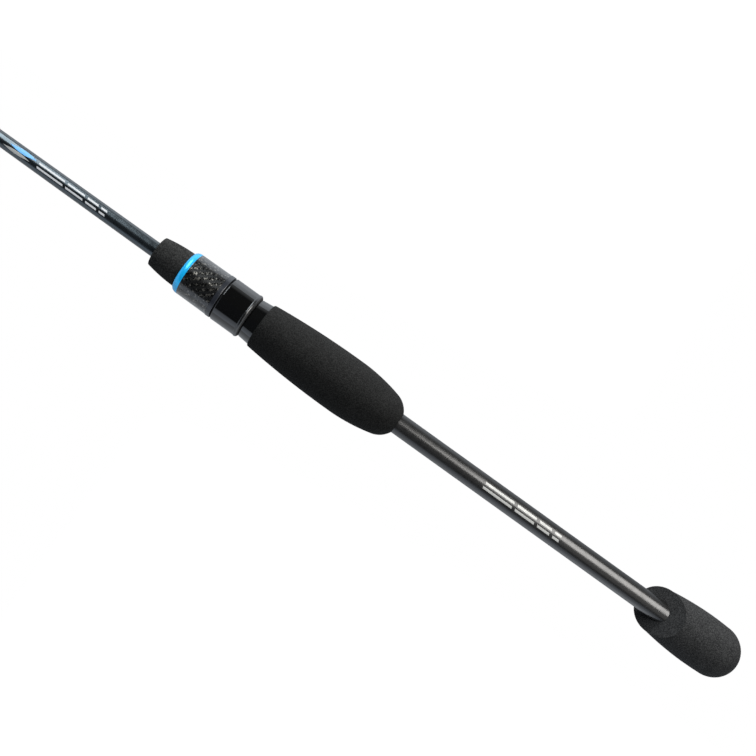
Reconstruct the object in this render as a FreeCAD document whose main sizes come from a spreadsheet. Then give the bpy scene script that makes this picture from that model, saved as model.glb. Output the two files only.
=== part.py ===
import FreeCAD, Part
import math
import os

import Sketcher
from FreeCAD import Placement, Rotation, Vector

# A light two-piece spinning rod.
# The rod's axis is X, from the butt end (the origin) towards the tip. The spine is +Z, and the guides and
# the reel's side of the seat are -Z. All lengths are in millimetres.

DIMENSIONS = {
    # Blanks
    "butt_blank_start": 12.0,
    "butt_blank_end": 1030.0,
    "fore_station": 366.0,
    "blank_radius_butt": 5.0,
    "blank_radius_fore": 4.155,
    "blank_radius_joint": 2.03,
    "blank_wall": 1.0,
    "tip_blank_start": 975.0,
    "tip_blank_end": 1980.0,
    "ferrule_clearance": 0.03,
    "ferrule_wall": 0.68,
    "ferrule_stop": 1036.0,
    "ferrule_step": 0.6,
    "tip_end_radius": 0.75,
    "tip_bore_end": 1880.0,
    "tip_bore_radius": 0.35,
    "ferrule_wrap_setback": 1.0,
    "ferrule_wrap_length": 24.0,
    "ferrule_wrap_taper": 1.5,
    "wrap_thickness": 0.4,
    # Handle
    "glue_gap": 0.05,
    "handle_tube_start": 8.0,
    "handle_tube_end": 349.0,
    "handle_tube_radius": 5.6,
    "handle_tube_bore": 5.05,
    "shim_length": 14.0,
    "rear_shim_start": 150.0,
    "front_shim_start": 334.0,
    "knob_end_radius": 13.8,
    "knob_widest_station": 25.0,
    "knob_widest_radius": 14.1,
    "knob_waist_station": 47.0,
    "knob_waist_radius": 12.3,
    "knob_front": 58.0,
    "knob_front_radius": 11.2,
    "knob_cut_top": 36.8,
    "knob_cut_slope": 1.22,
    "knob_cut_margin": 6.0,
    "knob_front_arc": 120.0,
    "knob_waist_arc": 170.0,
    "knob_back_arc": 200.0,
    "rear_grip_start": 211.8,
    "rear_grip_shoulder": 220.0,
    "rear_grip_shoulder_radius": 12.1,
    "rear_grip_palm": 241.5,
    "rear_grip_palm_radius": 15.1,
    "rear_grip_taper": 293.0,
    "rear_grip_taper_radius": 12.95,
    "rear_grip_end": 297.3,
    "rear_grip_end_radius": 12.5,
    "rear_grip_corner": 0.8,
    "rear_grip_taper_arc": 480.0,
    "rear_grip_palm_arc": 103.0,
    "rear_grip_end_arc": 12.5,
    "window_slant": 5.5,
    "window_gap": 0.5,
    "window_overrun": 5.0,
    # Reel seat
    "seat_start": 236.0,
    "seat_radius": 10.0,
    "seat_bore": 5.65,
    "landing_depth": 7.5,
    "pocket_roof_play": 0.3,
    "neck_end": 303.4,
    "neck_radius_rear": 11.7,
    "neck_radius_front": 11.05,
    "barrel_end": 349.3,
    "barrel_root_radius": 6.8,
    "barrel_crest_radius": 7.4,
    "thread_pitch": 2.5,
    "thread_sink": 0.1,
    "thread_root_share": 0.44,
    "thread_crest_start": 0.08,
    "thread_crest_end": 0.36,
    "thread_lead_in": 1.2,
    "thread_turns": 17.2,
    "keyway_width": 3.2,
    "keyway_floor": 6.2,
    "hood_drop": 2.6,
    "fixed_hood_start": 240.0,
    "fixed_hood_mouth": 258.0,
    "fixed_hood_radius": 11.4,
    "fixed_pocket_start": 243.0,
    "fixed_pocket_radius": 10.4,
    "insert_thickness": 0.4,
    "insert_setback": 0.5,
    "moving_hood_start": 303.9,
    "moving_hood_end": 320.8,
    "moving_hood_radius": 12.25,
    "moving_hood_bore": 7.7,
    "hood_bead_width": 3.2,
    "hood_bead_radius": 3.4,
    "hood_bead_drop": 0.65,
    "hood_edge": 0.3,
    "hood_key_sink": 0.6,
    "hood_recess_depth": 1.0,
    "hood_recess_radius": 11.65,
    "hood_bulge_radius": 11.7,
    "moving_pocket_end": 317.5,
    "moving_pocket_radius": 10.4,
    "moving_pocket_roof": 5.0,
    "moving_insert_roof": 8.0,
    "moving_clearance": 0.3,
    # Locking nut and what it carries
    "nut_start": 321.3,
    "collar_end": 323.7,
    "collar_radius": 12.2,
    "collar_edge": 0.4,
    "nut_body_radius": 10.0,
    "nut_body_end": 344.9,
    "nut_nose_radius": 8.6,
    "nut_end": 352.0,
    "nut_bore": 7.7,
    "nut_ridge_start_turns": 7.72,
    "nut_ridge_turns": 2.6,
    "nut_ridge_top": 0.9,
    "nut_ridge_root": 1.1,
    "nut_ridge_play": 0.35,
    "sleeve_radius_rear": 12.0,
    "sleeve_radius_front": 11.85,
    "trim_ring_start": 341.8,
    "trim_ring_end": 345.1,
    "trim_ring_front_radius": 10.65,
    "trim_ring_land": 0.5,
    "trim_ring_arc": 3.5,
    "fore_grip_end": 362.0,
    "fore_grip_radius": 9.95,
    "fore_grip_front_radius": 8.25,
    "fore_grip_corner": 0.5,
    "fore_grip_bore": 4.5,
    "fore_grip_arc": 85.0,
    "fore_grip_gap": 0.3,
    # Guides
    "foot_thickness": 0.7,
    "foot_width": 2.0,
    "guide_wrap_radius": 1.45,
    "guide_wrap_lead": 2.5,
    "guide_wrap_step": 1.0,
    "ring_chamfer": 0.1,
    "ring_overhang": 0.3,
    "ring_glue": 0.03,
    "tip_top_tube_length": 11.0,
    "tip_top_wall": 0.3,
    "tip_top_station": 1982.0,
    "tip_top_diameter": 6.6,
    "tip_top_height": 4.3,
    "tip_top_edge": 0.5,
    "tip_top_weld": 0.15,
    "tip_top_glue": 0.02,
    "tip_top_wrap_length": 6.0,
    "small_gap": 0.05,
}

# Each guide: its name, station, hoop outer diameter and height from the rod's axis to the ring's centre.
GUIDES = (
    ("first", 870.0, 20.0, 24.0),
    ("second", 1120.0, 12.0, 15.0),
    ("third", 1320.0, 8.0, 10.5),
    ("fourth", 1490.0, 7.0, 9.0),
    ("fifth", 1635.0, 6.0, 8.0),
    ("sixth", 1765.0, 6.0, 7.6),
    ("seventh", 1880.0, 6.0, 7.2),
)


class Size:
    """A length: its value in millimetres, and the formula that reads it from the sheet."""

    def __init__(self, value, formula):
        self.value = value
        self.formula = formula

    def __add__(self, other):
        other = as_size(other)
        return Size(self.value + other.value, f"({self.formula} + {other.formula})")

    def __sub__(self, other):
        other = as_size(other)
        return Size(self.value - other.value, f"({self.formula} - {other.formula})")

    def __mul__(self, other):
        other = as_size(other)
        return Size(self.value * other.value, f"({self.formula} * {other.formula})")

    def __truediv__(self, other):
        other = as_size(other)
        return Size(self.value / other.value, f"({self.formula} / {other.formula})")

    def __neg__(self):
        return Size(-self.value, f"(0 - {self.formula})")


def as_size(length):
    """Turn a plain number into a Size."""
    if isinstance(length, Size):
        return length
    return Size(float(length), f"({float(length)})")


class Arc:
    """A circular stretch of an outline, bulging outwards, between the points before and after it."""

    def __init__(self, radius):
        self.radius = as_size(radius)


doc = FreeCAD.newDocument("spinning_rod")
sheet = doc.addObject("Spreadsheet::Sheet", "Dimensions")
sheet_rows = list(DIMENSIONS.items())
for guide_name, station, diameter, height in GUIDES:
    sheet_rows.append((f"{guide_name}_guide_station", station))
    sheet_rows.append((f"{guide_name}_guide_diameter", diameter))
    sheet_rows.append((f"{guide_name}_guide_height", height))
for row, (alias, number) in enumerate(sheet_rows, start=1):
    sheet.set(f"A{row}", alias)
    sheet.set(f"B{row}", str(number))
    sheet.setAlias(f"B{row}", alias)
doc.recompute()
dim = {alias: Size(number, f"Dimensions.{alias}") for alias, number in sheet_rows}

sub_parts = []


def keep(thing, label):
    """Give a finished sub-part its name and put it on the list of those written out."""
    thing.Label = label
    sub_parts.append(thing)
    return thing


def bind(thing, prop, length):
    """Set a property and tie it to the sheet."""
    length = as_size(length)
    thing.setExpression(prop, length.formula)


def place(thing, x_pos=0.0, y_pos=0.0, z_pos=0.0, rotation=None):
    """Put a thing in the rod's frame, with its position tied to the sheet."""
    thing.Placement = Placement(Vector(0, 0, 0), rotation or Rotation())
    bind(thing, "Placement.Base.x", x_pos)
    bind(thing, "Placement.Base.y", y_pos)
    bind(thing, "Placement.Base.z", z_pos)


# How far cutting tools reach: across the rod, below it, and past the ends of what they cut.
TOOL_WIDTH = 60.0
TOOL_DEPTH = 20.0
OVERRUN = 1.0

# A guide's proportions, as shares of its hoop's outer diameter.
LEG_RISE = 0.175
LEG_SLOPE = 0.9
SHOULDER = 0.9
SILL = 1.04
SMALLEST_WINDOWED = 8.0


# ---------------------------------------------------------------- sketches


def origin_plane(body, role):
    """Return one of a body's own origin planes."""
    for feature in body.Origin.OriginFeatures:
        if feature.Role == role:
            return feature
    raise ValueError(role)


def new_sketch(body, name, role):
    """Start a sketch on one of a body's origin planes."""
    sketch = body.newObject("Sketcher::SketchObject", name)
    sketch.AttachmentSupport = [(origin_plane(body, role), "")]
    sketch.MapMode = "FlatFace"
    return sketch


def arc_geometry(start, end, radius):
    """The counter-clockwise arc from start to end, less than half a turn."""
    chord = end - start
    middle = (start + end) * 0.5
    reach = math.sqrt(max(radius * radius - chord.Length * chord.Length / 4.0, 0.0))
    left = Vector(-chord.y, chord.x, 0).normalize()
    centre = middle + left * reach
    first = math.atan2(start.y - centre.y, start.x - centre.x)
    last = math.atan2(end.y - centre.y, end.x - centre.x)
    return Part.ArcOfCircle(Part.Circle(centre, Vector(0, 0, 1), radius), first, last)


def draw_outline(sketch, outline):
    """Draw one closed outline, counter-clockwise, with every point and radius tied to the sheet."""
    points = []
    arcs = {}
    for item in outline:
        if isinstance(item, Arc):
            arcs[len(points) - 1] = item
        else:
            points.append((as_size(item[0]), as_size(item[1])))
    base = sketch.GeometryCount
    count = len(points)
    spots = [Vector(first.value, second.value, 0) for first, second in points]
    for index in range(count):
        start = spots[index]
        end = spots[(index + 1) % count]
        if index in arcs:
            sketch.addGeometry(arc_geometry(start, end, arcs[index].radius.value), False)
        else:
            sketch.addGeometry(Part.LineSegment(start, end), False)
    for index in range(count):
        following = base + (index + 1) % count
        sketch.addConstraint(Sketcher.Constraint("Coincident", base + index, 2, following, 1))
    for index, (first, second) in enumerate(points):
        for kind, length in (("DistanceX", first), ("DistanceY", second)):
            number = sketch.addConstraint(Sketcher.Constraint(kind, base + index, 1, length.value))
            sketch.setExpression(f"Constraints[{number}]", length.formula)
    for index, arc in arcs.items():
        number = sketch.addConstraint(Sketcher.Constraint("Radius", base + index, arc.radius.value))
        sketch.setExpression(f"Constraints[{number}]", arc.radius.formula)


def revolved(name, outline):
    """A body turned about the rod's axis from an outline of (station, radius) points."""
    body = doc.addObject("PartDesign::Body", name)
    sketch = new_sketch(body, f"{name}_outline", "XZ_Plane")
    draw_outline(sketch, outline)
    turned = body.newObject("PartDesign::Revolution", f"{name}_turned")
    turned.Profile = sketch
    turned.ReferenceAxis = (sketch, ["H_Axis"])
    turned.Angle = 360.0
    body.Tip = turned
    return body


def padded(name, outlines, role, length):
    """A body padded both ways from closed outlines on one of its origin planes."""
    body = doc.addObject("PartDesign::Body", name)
    sketch = new_sketch(body, f"{name}_outline", role)
    for outline in outlines:
        draw_outline(sketch, outline)
    pad = body.newObject("PartDesign::Pad", f"{name}_pad")
    pad.Profile = sketch
    pad.Midplane = True
    bind(pad, "Length", length)
    body.Tip = pad
    return body


def cut_across(body, name, outline):
    """Pocket a body right across Y with an outline of (station, height) points."""
    sketch = new_sketch(body, f"{name}_outline", "XZ_Plane")
    draw_outline(sketch, outline)
    pocket = body.newObject("PartDesign::Pocket", name)
    pocket.Profile = sketch
    pocket.Midplane = True
    bind(pocket, "Length", TOOL_WIDTH)
    body.Tip = pocket


# ---------------------------------------------------------------- primitives

ALONG_X = Rotation(Vector(0, 1, 0), 90)


def cylinder_x(name, start, end, radius, drop=0.0):
    """A cylinder along X, with its axis dropped below the rod's axis."""
    solid = doc.addObject("Part::Cylinder", name)
    bind(solid, "Radius", radius)
    bind(solid, "Height", as_size(end) - start)
    place(solid, start, 0.0, -as_size(drop), ALONG_X)
    return solid


def cone_x(name, start, end, start_radius, end_radius):
    """A cone along the rod's axis."""
    solid = doc.addObject("Part::Cone", name)
    bind(solid, "Radius1", start_radius)
    bind(solid, "Radius2", end_radius)
    bind(solid, "Height", as_size(end) - start)
    place(solid, start, 0.0, 0.0, ALONG_X)
    return solid


def box(name, x_range, width, z_range):
    """A box centred on the rod's middle plane."""
    solid = doc.addObject("Part::Box", name)
    bind(solid, "Length", as_size(x_range[1]) - x_range[0])
    bind(solid, "Width", width)
    bind(solid, "Height", as_size(z_range[1]) - z_range[0])
    place(solid, x_range[0], as_size(width) * -0.5, z_range[0])
    return solid


def fuse(name, solids):
    """Join solids into one."""
    joined = doc.addObject("Part::MultiFuse", name)
    joined.Shapes = solids
    joined.Refine = True
    return joined


def cut(name, base, tool):
    """Take one solid out of another."""
    left = doc.addObject("Part::Cut", name)
    left.Base = base
    left.Tool = tool
    return left


def common(name, first, second):
    """What two solids share."""
    shared = doc.addObject("Part::Common", name)
    shared.Base = first
    shared.Tool = second
    return shared


# ---------------------------------------------------------------- blanks


def between(x_pos, x_first, r_first, x_second, r_second):
    """A radius on a straight taper."""
    x_pos = as_size(x_pos)
    return r_first + (x_pos - x_first) * (r_second - r_first) / (x_second - x_first)


def butt_blank_radius(x_pos):
    """The butt section's outer radius in front of the grip."""
    return between(x_pos, dim["fore_station"], dim["blank_radius_fore"],
                   dim["butt_blank_end"], dim["blank_radius_joint"])


def handle_blank_radius(x_pos):
    """The butt section's outer radius inside the handle."""
    return between(x_pos, dim["butt_blank_start"], dim["blank_radius_butt"],
                   dim["fore_station"], dim["blank_radius_fore"])


def tip_blank_radius(x_pos):
    """The tip section's outer radius."""
    at_start = butt_blank_radius(dim["tip_blank_start"]) + dim["ferrule_clearance"] + dim["ferrule_wall"]
    return between(x_pos, dim["tip_blank_start"], at_start, dim["tip_blank_end"], dim["tip_end_radius"])


def make_butt_blank():
    start = dim["butt_blank_start"]
    fore = dim["fore_station"]
    end = dim["butt_blank_end"]
    wall = dim["blank_wall"]
    keep(revolved("butt_blank_body", [
        (start, dim["blank_radius_butt"] - wall),
        (fore, dim["blank_radius_fore"] - wall),
        (end, dim["blank_radius_joint"] - wall),
        (end, dim["blank_radius_joint"]),
        (fore, dim["blank_radius_fore"]),
        (start, dim["blank_radius_butt"]),
    ]), "butt_blank")


def make_tip_blank():
    start = dim["tip_blank_start"]
    end = dim["tip_blank_end"]
    stop = dim["ferrule_stop"]
    play = dim["ferrule_clearance"]
    keep(revolved("tip_blank_body", [
        (start, butt_blank_radius(start) + play),
        (stop, butt_blank_radius(stop) + play),
        (stop, dim["blank_radius_joint"] - dim["ferrule_step"]),
        (dim["tip_bore_end"], dim["tip_bore_radius"]),
        (dim["tip_bore_end"], 0.0),
        (end, 0.0),
        (end, dim["tip_end_radius"]),
        (start, tip_blank_radius(start)),
    ]), "tip_blank")


def make_ferrule_wrap():
    start = dim["tip_blank_start"] + dim["ferrule_wrap_setback"]
    end = start + dim["ferrule_wrap_length"]
    taper = dim["ferrule_wrap_taper"]
    thick = dim["wrap_thickness"]
    keep(revolved("ferrule_wrap_body", [
        (start, tip_blank_radius(start)),
        (end, tip_blank_radius(end)),
        (end - taper, tip_blank_radius(end) + thick),
        (start + taper, tip_blank_radius(start) + thick),
    ]), "ferrule_wrap")


# ---------------------------------------------------------------- handle


def make_handle_tube():
    keep(revolved("handle_tube_body", [
        (dim["handle_tube_start"], dim["handle_tube_bore"]),
        (dim["handle_tube_end"], dim["handle_tube_bore"]),
        (dim["handle_tube_end"], dim["handle_tube_radius"]),
        (dim["handle_tube_start"], dim["handle_tube_radius"]),
    ]), "handle_tube")


def make_blank_shim(label, start):
    end = start + dim["shim_length"]
    outer = dim["handle_tube_bore"]
    keep(revolved(f"{label}_body", [
        (start, handle_blank_radius(start)),
        (end, handle_blank_radius(end)),
        (end, outer),
        (start, outer),
    ]), label)


def make_butt_grip():
    bore = dim["handle_tube_radius"] + dim["glue_gap"]
    end_radius = dim["knob_end_radius"]
    body = revolved("butt_grip_body", [
        (0.0, 0.0),
        (dim["handle_tube_start"], 0.0),
        (dim["handle_tube_start"], bore),
        (dim["knob_front"], bore),
        (dim["knob_front"], dim["knob_front_radius"]),
        Arc(dim["knob_front_arc"]),
        (dim["knob_waist_station"], dim["knob_waist_radius"]),
        Arc(dim["knob_waist_arc"]),
        (dim["knob_widest_station"], dim["knob_widest_radius"]),
        Arc(dim["knob_back_arc"]),
        (end_radius, end_radius),
        Arc(end_radius),
    ])
    # The front is cut off by one slanted plane, furthest back on the spine side.
    top = dim["knob_cut_top"]
    reach = dim["knob_widest_radius"]
    margin = dim["knob_cut_margin"]
    slope = dim["knob_cut_slope"]
    beyond = dim["knob_front"] + margin
    cut_across(body, "knob_cut", [
        (top - margin / slope, reach + margin),
        (top + (reach * 2.0 + margin) / slope, -(reach + margin)),
        (beyond, -(reach + margin)),
        (beyond, reach + margin),
    ])
    keep(body, "butt_grip")


def make_rear_grip():
    tube_bore = dim["handle_tube_radius"] + dim["glue_gap"]
    seat_bore = dim["seat_radius"] + dim["glue_gap"]
    corner = dim["rear_grip_corner"]
    shell = revolved("rear_grip_shell", [
        (dim["rear_grip_start"], tube_bore),
        (dim["seat_start"], tube_bore),
        (dim["seat_start"], seat_bore),
        (dim["rear_grip_end"], seat_bore),
        (dim["rear_grip_end"], dim["rear_grip_end_radius"] - corner),
        Arc(corner),
        (dim["rear_grip_end"] - corner, dim["rear_grip_end_radius"]),
        (dim["rear_grip_taper"], dim["rear_grip_taper_radius"]),
        Arc(dim["rear_grip_taper_arc"]),
        (dim["rear_grip_palm"], dim["rear_grip_palm_radius"]),
        Arc(dim["rear_grip_palm_arc"]),
        (dim["rear_grip_shoulder"], dim["rear_grip_shoulder_radius"]),
        Arc(dim["rear_grip_end_arc"]),
    ])
    # On the reel's side the foam stops at the fixed hood's mouth and is level with the landing.
    mouth = dim["fixed_hood_mouth"]
    gap = dim["window_gap"]
    front = dim["rear_grip_end"] + dim["window_overrun"]
    cut_across(shell, "landing_window", [
        (mouth - gap - dim["window_slant"], -TOOL_DEPTH),
        (front, -TOOL_DEPTH),
        (front, -dim["landing_depth"]),
        (mouth - gap, -dim["landing_depth"]),
    ])
    hood_room = cylinder_x("fixed_hood_room", dim["fixed_hood_start"] - dim["glue_gap"], mouth + gap,
                           dim["fixed_hood_radius"] + dim["glue_gap"], dim["hood_drop"])
    keep(cut("rear_grip_cut", shell, hood_room), "rear_grip")


# ---------------------------------------------------------------- reel seat


def foot_pocket(name, start, end, radius, top):
    """The round-bottomed room for one end of a reel's foot, below the height given."""
    round_room = cylinder_x(f"{name}_round", start, end, radius, dim["hood_drop"])
    level = box(f"{name}_level", (as_size(start) - OVERRUN, as_size(end) + OVERRUN), TOOL_WIDTH,
                (-TOOL_DEPTH, -as_size(top)))
    return common(name, round_room, level)


def make_reel_seat_body():
    start = dim["seat_start"]
    shelf = cylinder_x("seat_shelf", start, dim["rear_grip_end"], dim["seat_radius"])
    neck = cone_x("seat_neck", dim["rear_grip_end"], dim["neck_end"],
                  dim["neck_radius_rear"], dim["neck_radius_front"])
    landing = box("seat_landing", (dim["fixed_hood_mouth"], dim["neck_end"] + OVERRUN), TOOL_WIDTH,
                  (-TOOL_DEPTH, -dim["landing_depth"]))
    core = cut("seat_core", fuse("seat_solid", [shelf, neck]), landing)
    hood = cylinder_x("fixed_hood_shell", dim["fixed_hood_start"], dim["fixed_hood_mouth"],
                      dim["fixed_hood_radius"], dim["hood_drop"])
    barrel = make_threaded_barrel()
    solid = fuse("seat_joined", [core, hood, barrel])
    # Inside the fixed hood the roof is a little above the landing, so a foot slides in without catching.
    pocket = foot_pocket("fixed_pocket", dim["fixed_pocket_start"], dim["fixed_hood_mouth"],
                         dim["fixed_pocket_radius"], dim["landing_depth"] - dim["pocket_roof_play"])
    bore = cylinder_x("seat_bore_tool", start - OVERRUN, dim["barrel_end"] + OVERRUN, dim["seat_bore"])
    bored = cut("seat_bored", cut("seat_pocketed", solid, pocket), bore)
    keyway = box("seat_keyway", (dim["neck_end"], dim["barrel_end"] + OVERRUN), dim["keyway_width"],
                 (dim["keyway_floor"], dim["barrel_crest_radius"] + OVERRUN))
    keep(cut("seat_keyed", bored, keyway), "reel_seat_body")


def make_threaded_barrel():
    """The barrel with its right-hand external thread."""
    start = dim["neck_end"] - OVERRUN
    end = dim["barrel_end"]
    root = dim["barrel_root_radius"]
    crest = dim["barrel_crest_radius"]
    pitch = dim["thread_pitch"]
    bore = dim["seat_bore"] - OVERRUN
    body = revolved("barrel_body", [
        (start, bore),
        (end, bore),
        (end, root),
        (start, root),
    ])
    sketch = new_sketch(body, "barrel_thread_outline", "XZ_Plane")
    first = dim["neck_end"] + dim["thread_lead_in"]
    sunk = root - dim["thread_sink"]
    draw_outline(sketch, [
        (first, sunk),
        (first + pitch * dim["thread_root_share"], sunk),
        (first + pitch * dim["thread_crest_end"], crest),
        (first + pitch * dim["thread_crest_start"], crest),
    ])
    thread = body.newObject("PartDesign::AdditiveHelix", "barrel_thread")
    thread.Profile = sketch
    thread.ReferenceAxis = (sketch, ["H_Axis"])
    thread.Mode = "pitch-height-angle"
    bind(thread, "Pitch", pitch)
    bind(thread, "Height", pitch * dim["thread_turns"])
    thread.LeftHanded = False
    body.Tip = thread
    return body


def make_fixed_hood_insert():
    setback = dim["insert_setback"]
    outer = foot_pocket("fixed_insert_outer", dim["fixed_pocket_start"] + setback,
                        dim["fixed_hood_mouth"] - setback, dim["fixed_pocket_radius"],
                        dim["landing_depth"] + OVERRUN)
    inner = cylinder_x("fixed_insert_inner", dim["fixed_pocket_start"], dim["fixed_hood_mouth"],
                       dim["fixed_pocket_radius"] - dim["insert_thickness"], dim["hood_drop"])
    keep(cut("fixed_insert_cut", outer, inner), "fixed_hood_insert")


def make_moving_hood():
    start = dim["moving_hood_start"]
    end = dim["moving_hood_end"]
    bead = start + dim["hood_bead_width"]
    radius = dim["moving_hood_radius"]
    bore = dim["moving_hood_bore"]
    step = end - dim["hood_recess_depth"]
    recess = dim["hood_recess_radius"]
    edge = dim["hood_edge"]
    shell = revolved("moving_hood_shell", [
        (start, bore),
        (step, bore),
        (step, recess),
        (end, recess),
        (end, radius - edge),
        Arc(edge),
        (end - edge, radius),
        (bead, radius),
        Arc(dim["hood_bead_radius"]),
        (start, radius - dim["hood_bead_drop"]),
    ])
    # The underside bulges to make room for the reel's foot.
    bulge = cylinder_x("moving_hood_bulge", start, end - edge, dim["hood_bulge_radius"], dim["hood_drop"])
    bore_room = cylinder_x("moving_hood_bore_room", start - OVERRUN, end + OVERRUN, bore)
    recess_room = cylinder_x("moving_hood_recess_room", step, end + OVERRUN, recess)
    rooms = fuse("moving_hood_rooms", [bore_room, recess_room])
    joined = fuse("moving_hood_joined", [shell, cut("moving_hood_bulge_bored", bulge, rooms)])
    pocket = foot_pocket("moving_pocket", start - OVERRUN, dim["moving_pocket_end"],
                         dim["moving_pocket_radius"], dim["moving_pocket_roof"])
    hollow = cut("moving_hood_hollow", joined, pocket)
    # A key in the bore runs in the barrel's keyway and keeps the hood from turning.
    play = dim["moving_clearance"]
    key = box("moving_hood_key", (start + OVERRUN, step - OVERRUN), dim["keyway_width"] - play * 2.0,
              (dim["keyway_floor"] + play, bore + dim["hood_key_sink"]))
    keep(fuse("moving_hood_keyed", [hollow, key]), "moving_hood")


def make_moving_hood_insert():
    start = dim["moving_hood_start"] + dim["insert_setback"]
    end = dim["moving_pocket_end"] - dim["moving_clearance"]
    outer = foot_pocket("moving_insert_outer", start, end, dim["moving_pocket_radius"],
                        dim["moving_insert_roof"])
    inner = cylinder_x("moving_insert_inner", start - OVERRUN, end + OVERRUN,
                       dim["moving_pocket_radius"] - dim["insert_thickness"], dim["hood_drop"])
    keep(cut("moving_insert_cut", outer, inner), "moving_hood_insert")


def make_hood_slip_ring():
    """The ring that ties the nut to the hood, and lets one turn while the other only slides."""
    end = dim["moving_hood_end"]
    gap = dim["small_gap"]
    floor = end - dim["hood_recess_depth"] + gap
    front = dim["nut_start"] - dim["moving_clearance"]
    inner = dim["moving_hood_bore"] + gap
    outer = dim["hood_recess_radius"] - gap
    keep(revolved("hood_slip_ring_body", [
        (floor, inner),
        (front, inner),
        (front, outer),
        (floor, outer),
    ]), "hood_slip_ring")


# ---------------------------------------------------------------- locking nut


def make_locking_nut():
    start = dim["nut_start"]
    bore = dim["nut_bore"]
    collar = dim["collar_radius"]
    edge = dim["collar_edge"]
    body = revolved("locking_nut_body", [
        (start, bore),
        (dim["nut_end"], bore),
        (dim["nut_end"], dim["nut_nose_radius"]),
        (dim["nut_body_end"], dim["nut_nose_radius"]),
        (dim["nut_body_end"], dim["nut_body_radius"]),
        (dim["collar_end"], dim["nut_body_radius"]),
        (dim["collar_end"], collar),
        (start + edge, collar),
        Arc(edge),
        (start, collar - edge),
    ])
    # The inner thread's ridge runs in the middle of the barrel's groove.
    pitch = dim["thread_pitch"]
    middle = dim["neck_end"] + dim["thread_lead_in"] + pitch * dim["nut_ridge_start_turns"]
    half_top = dim["nut_ridge_top"] / 2.0
    half_root = dim["nut_ridge_root"] / 2.0
    top = dim["barrel_root_radius"] + dim["nut_ridge_play"]
    sunk = bore + dim["thread_sink"]
    sketch = new_sketch(body, "nut_thread_outline", "XZ_Plane")
    draw_outline(sketch, [
        (middle - half_top, top),
        (middle + half_top, top),
        (middle + half_root, sunk),
        (middle - half_root, sunk),
    ])
    thread = body.newObject("PartDesign::AdditiveHelix", "nut_thread")
    thread.Profile = sketch
    thread.ReferenceAxis = (sketch, ["H_Axis"])
    thread.Mode = "pitch-height-angle"
    bind(thread, "Pitch", pitch)
    bind(thread, "Height", pitch * dim["nut_ridge_turns"])
    body.Tip = thread
    keep(body, "locking_nut")


def make_carbon_sleeve():
    start = dim["collar_end"]
    end = dim["trim_ring_start"]
    bore = dim["nut_body_radius"] + dim["glue_gap"]
    keep(revolved("carbon_sleeve_body", [
        (start, bore),
        (end, bore),
        (end, dim["sleeve_radius_front"]),
        (start, dim["sleeve_radius_rear"]),
    ]), "carbon_sleeve")


def make_trim_ring():
    start = dim["trim_ring_start"]
    end = dim["trim_ring_end"]
    bore = dim["nut_body_radius"] + dim["glue_gap"]
    radius = dim["sleeve_radius_front"]
    keep(revolved("trim_ring_body", [
        (start, bore),
        (end, bore),
        (end, dim["trim_ring_front_radius"]),
        Arc(dim["trim_ring_arc"]),
        (start + dim["trim_ring_land"], radius),
        (start, radius),
    ]), "trim_ring")


def make_fore_grip():
    start = dim["trim_ring_end"]
    end = dim["fore_grip_end"]
    nose_bore = dim["nut_nose_radius"] + dim["glue_gap"]
    corner = dim["fore_grip_corner"]
    radius = dim["fore_grip_front_radius"]
    nose_room = dim["nut_end"] + dim["fore_grip_gap"]
    keep(revolved("fore_grip_body", [
        (start, nose_bore),
        (nose_room, nose_bore),
        (nose_room, dim["fore_grip_bore"]),
        (end, dim["fore_grip_bore"]),
        (end, radius - corner),
        Arc(corner),
        (end - corner, radius),
        Arc(dim["fore_grip_arc"]),
        (start, dim["fore_grip_radius"]),
    ]), "fore_grip")


# ---------------------------------------------------------------- guides


def hoop_wall(diameter):
    """How thick a guide's metal hoop is, from its size."""
    return diameter * 0.035 + 0.35


def hoop_width(diameter):
    """How long a guide's metal hoop is along the rod."""
    return diameter * 0.03 + 1.2


def ring_section(diameter):
    """How thick a guide's ceramic ring is."""
    return diameter * 0.04 + 0.45


def foot_length(diameter):
    """How far a guide's foot lies on the blank."""
    return diameter * 0.3 + 6.0


def leg_reach(diameter, level):
    """How far back from the hoop a leg meets its foot, for a foot at the level given."""
    return (level - diameter * LEG_RISE) * LEG_SLOPE


def leg_outline(diameter, level, side):
    """The side view of a bent strip: hoop, sloping leg and foot, towards the butt (-1) or the tip (+1)."""
    half = hoop_width(diameter) / 2.0
    radius = diameter / 2.0
    thick = dim["foot_thickness"]
    rise = diameter * LEG_RISE
    reach = leg_reach(diameter, level)
    heel = reach + foot_length(diameter)
    points = [
        (-half, -radius),
        (half, -radius),
        (half, radius),
        (-half, radius),
        (-half, rise + thick * 1.4),
        (thick * 0.4 - reach, level),
        (-heel, level),
        (-heel, level - thick),
        (-reach, level - thick),
        (-half, rise),
    ]
    if side < 0:
        return points
    return [(-first, second) for first, second in reversed(points)]


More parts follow.
